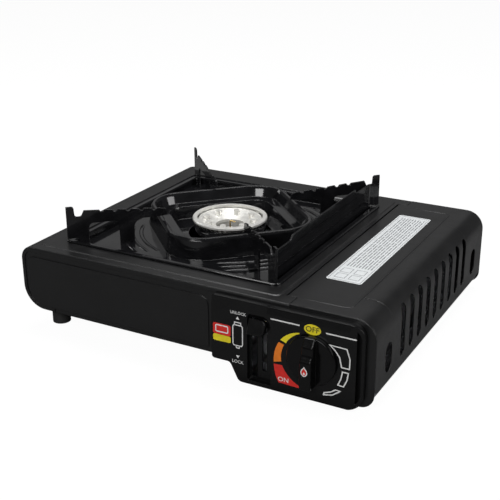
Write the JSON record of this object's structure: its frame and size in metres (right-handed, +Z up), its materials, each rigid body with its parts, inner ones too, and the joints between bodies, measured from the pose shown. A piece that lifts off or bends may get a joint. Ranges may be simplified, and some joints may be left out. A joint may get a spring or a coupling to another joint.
{
  "type": "portable cassette stove",
  "caption": "Low black table-top gas stove: folded steel body, lift-out drip tray with serrated pan supports, ring burner, hinged cartridge cover and a side control panel with knob and lever.",
  "frame": {"origin": "on the table under the middle of the stove's overall width and depth", "axes": "+X towards the cartridge side, -Y towards the front with the controls, +Z up"},
  "size_m": [0.343, 0.302, 0.112],
  "materials": {
    "matte_black_paint": "fine matt texture",
    "black_enamel": "gloss",
    "black_plastic": "semi-gloss",
    "zinc_steel": "zinc plated",
    "bright_steel": "bright",
    "polished_steel": "polished",
    "die_cast": "as cast, matt",
    "dark_iron": "dark",
    "brass": "turned",
    "rubber": "matt",
    "red_insulation": "matt",
    "ceramic": "glazed white"
  },
  "bodies": {
    "chassis": {"base_pan": "zinc_steel", "bay_divider": "zinc_steel", "burner_base": "die_cast", "burner_bracket": "zinc_steel", "burner_head": "die_cast", "burner_pot": "polished_steel", "burner_teeth": "dark_iron", "cartridge_rails": "zinc_steel", "control_bezel": "black_plastic", "cover_hinge_pins": "bright_steel", "electrode": "ceramic", "electrode_tip": "bright_steel", "foot_left_front": "rubber", "foot_left_rear": "rubber", "foot_right_front": "rubber", "foot_right_rear": "rubber", "front_panel": "matte_black_paint", "gas_jet": "brass", "gas_pipe": "bright_steel", "igniter_lead": "red_insulation", "inlet_nozzle": "brass", "inlet_seal": "rubber", "jet_holder": "zinc_steel", "lever_bracket": "zinc_steel", "lever_pin": "bright_steel", "locating_pin": "bright_steel", "mixing_tube": "zinc_steel", "piezo_igniter": "black_plastic", "rear_panel": "matte_black_paint", "rear_screws": "bright_steel", "regulator_body": "die_cast", "regulator_cap": "zinc_steel", "return_spring": "bright_steel", "spring_post": "bright_steel", "top_deck": "matte_black_paint"},
    "gas_knob": {"gas_knob": "black_plastic", "valve_stem": "brass"},
    "lock_lever": {"lock_lever": "bright_steel", "lever_tab": "black_plastic"},
    "cartridge_carriage": {"carriage_bar": "zinc_steel", "pusher_plate": "zinc_steel"},
    "cartridge_cover": {"cartridge_cover": "matte_black_paint"},
    "pan_support": {"drip_tray": "black_enamel", "wind_shield": "black_enamel", "support_arm_left_front": "black_enamel", "support_arm_left_rear": "black_enamel", "support_arm_right_front": "black_enamel", "support_arm_right_rear": "black_enamel"}
  },
  "joints": [
    {"name": "knob_turn", "type": "hinge", "parent": "chassis", "child": "gas_knob", "pos_m": [0.1227, -0.128, 0.0407], "axis": [0, -1, 0], "range_deg": [0, 130]},
    {"name": "lever_swing", "type": "hinge", "parent": "chassis", "child": "lock_lever", "pos_m": [0.0739, -0.095, 0.04], "axis": [1, 0, 0], "range_deg": [0, 44]},
    {"name": "carriage_slide", "type": "slide", "parent": "chassis", "child": "cartridge_carriage", "axis": [0, -1, 0], "range_m": [0, 0.008], "stiffness_N_per_m": 30, "springref_m": -0.01, "deforming": ["return_spring"]},
    {"name": "cover_hinge", "type": "hinge", "parent": "chassis", "child": "cartridge_cover", "pos_m": [0.0915, 0, 0.0768], "axis": [0, -1, 0], "range_deg": [0, 95]},
    {"name": "support_lift", "type": "slide", "parent": "chassis", "child": "pan_support", "axis": [0, 0, 1], "range_m": [0, 0.06]}
  ],
  "couplings": [
    {"joint": "carriage_slide", "follows": "lever_swing", "m_per_rad": 0.010418}
  ]
}
